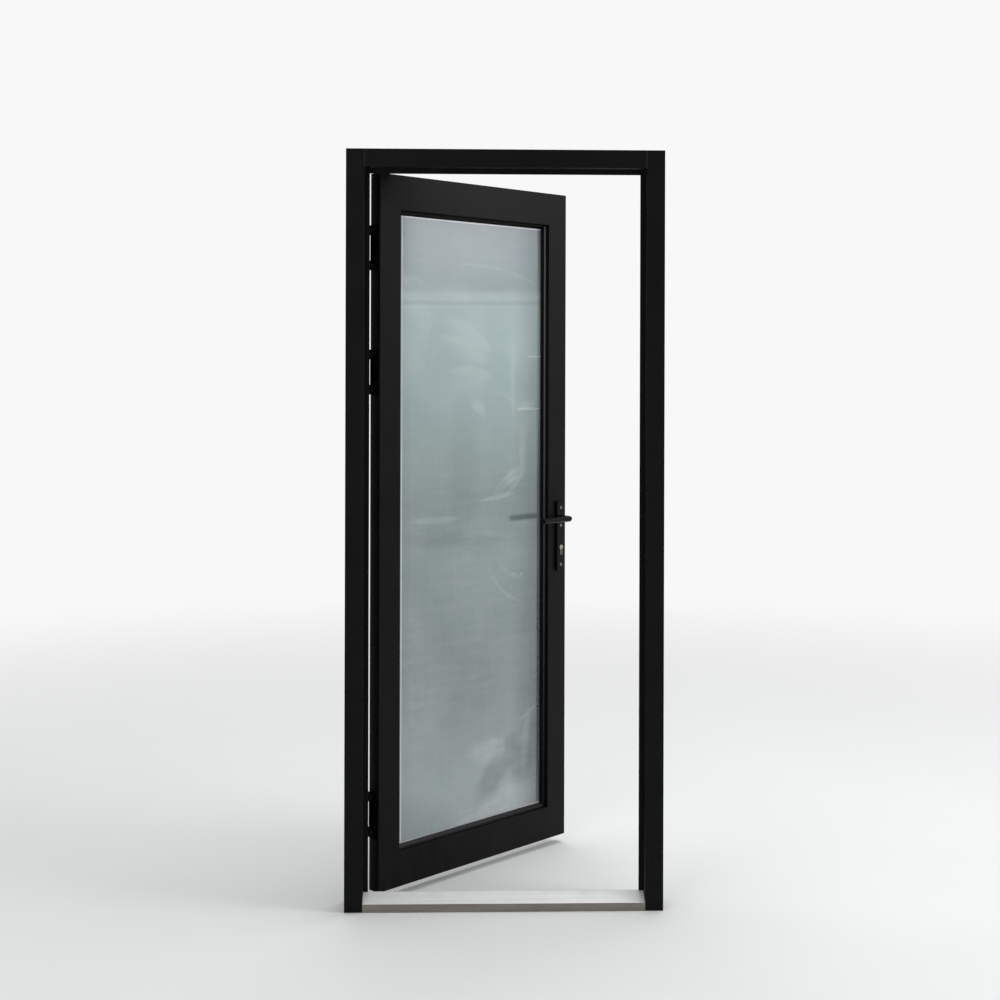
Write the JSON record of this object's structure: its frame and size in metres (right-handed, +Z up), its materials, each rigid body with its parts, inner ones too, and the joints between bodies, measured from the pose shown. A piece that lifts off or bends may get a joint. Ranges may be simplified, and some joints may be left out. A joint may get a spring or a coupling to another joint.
{
  "type": "glazed door",
  "caption": "Black metal-framed door leaf with a frosted glass pane, hung open in its own frame, with a metal threshold, lever handles and a key lock.",
  "frame": {"origin": "centre of the threshold's underside, in the middle of the frame's width and depth", "axes": "+X to the lock side, +Y to the side the leaf opens to, +Z up"},
  "size_m": [0.88, 0.658, 2.1],
  "materials": {
    "frame_black": "satin black powder coat",
    "threshold_metal": "natural mill finish, lightly worn",
    "seal_rubber": "matt black",
    "gasket_rubber": "matt black",
    "block_plastic": "moulded",
    "leaf_black": "satin black powder coat",
    "bead_black": "satin black powder coat",
    "glass_frosted": "frosted, dusty",
    "hinge_black": "satin black",
    "washer_nylon": "nylon",
    "screw_black": "black oxide",
    "screw_steel": "zinc plated",
    "cleat_metal": "mill finish",
    "lock_steel": "zinc plated",
    "cylinder_brass": "satin",
    "plug_nickel": "nickel plated",
    "handle_black": "satin black"
  },
  "bodies": {
    "frame": {"jamb_hinge_side": "frame_black", "jamb_lock_side": "frame_black", "head": "frame_black", "threshold": "threshold_metal", "seal_hinge_jamb": "seal_rubber", "seal_lock_jamb": "seal_rubber", "seal_head": "seal_rubber", "seal_threshold": "seal_rubber", "frame_screws": "screw_steel", "strike_plate": "lock_steel", "strike_screws": "screw_steel", "hinge_frame_plate_low": "hinge_black", "hinge_frame_plate_mid": "hinge_black", "hinge_frame_plate_top": "hinge_black", "hinge_pin_low": "hinge_black", "hinge_pin_mid": "hinge_black", "hinge_pin_top": "hinge_black", "hinge_washers": "washer_nylon", "hinge_frame_screws": "screw_black"},
    "leaf": {"hinge_leaf_plate_low": "hinge_black", "hinge_leaf_plate_mid": "hinge_black", "hinge_leaf_plate_top": "hinge_black", "hinge_leaf_screws": "screw_black", "stile_hinge_side": "leaf_black", "stile_lock_side": "leaf_black", "rail_top": "leaf_black", "rail_bottom": "leaf_black", "corner_cleats": "cleat_metal", "cleat_screws": "screw_steel", "glass_pane": "glass_frosted", "setting_blocks": "block_plastic", "gasket_near": "gasket_rubber", "gasket_far": "gasket_rubber", "bead_top": "bead_black", "bead_bottom": "bead_black", "bead_hinge_side": "bead_black", "bead_lock_side": "bead_black", "lock_case": "lock_steel", "lock_cover": "lock_steel", "lock_faceplate": "lock_steel", "faceplate_screws": "screw_steel", "follower_spring": "lock_steel", "cylinder_body": "cylinder_brass", "cylinder_screw": "screw_steel", "backplate_near": "handle_black", "backplate_far": "handle_black", "handle_screws": "screw_steel"},
    "lever": {"lever_near": "handle_black", "lever_far": "handle_black", "spindle": "lock_steel", "follower": "lock_steel"},
    "latch": {"latch_bolt": "lock_steel"},
    "bolt": {"dead_bolt": "lock_steel"},
    "key": {"cylinder_plug_near": "plug_nickel", "cylinder_plug_far": "plug_nickel", "cylinder_cam": "lock_steel"}
  },
  "joints": [
    {"name": "leaf_swing", "type": "hinge", "parent": "frame", "child": "leaf", "pos_m": [-0.387, 0.06, 0], "axis": [0, 0, 1], "range_deg": [-43.5, 56.5]},
    {"name": "lever_turn", "type": "hinge", "parent": "leaf", "child": "lever", "pos_m": [0.17364, 0.5486, 1.027], "axis": [0.6884, -0.7254, 0], "range_deg": [0, 40], "stiffness_Nm_per_rad": 1, "springref_deg": -28.65},
    {"name": "latch_slide", "type": "slide", "parent": "leaf", "child": "latch", "axis": [-0.7254, -0.6884, 0], "range_m": [0, 0.012]},
    {"name": "key_turn", "type": "hinge", "parent": "leaf", "child": "key", "pos_m": [0.17364, 0.5486, 0.935], "axis": [0.6884, -0.7254, 0], "range_deg": [0, 360]},
    {"name": "bolt_slide", "type": "slide", "parent": "leaf", "child": "bolt", "axis": [0.7254, 0.6884, 0], "range_m": [0, 0.02]}
  ],
  "couplings": [
    {"joint": "latch_slide", "follows": "lever_turn", "m_per_rad": 0.01718},
    {"joint": "key_turn", "follows": "bolt_slide", "rad_per_m": 314.15}
  ]
}
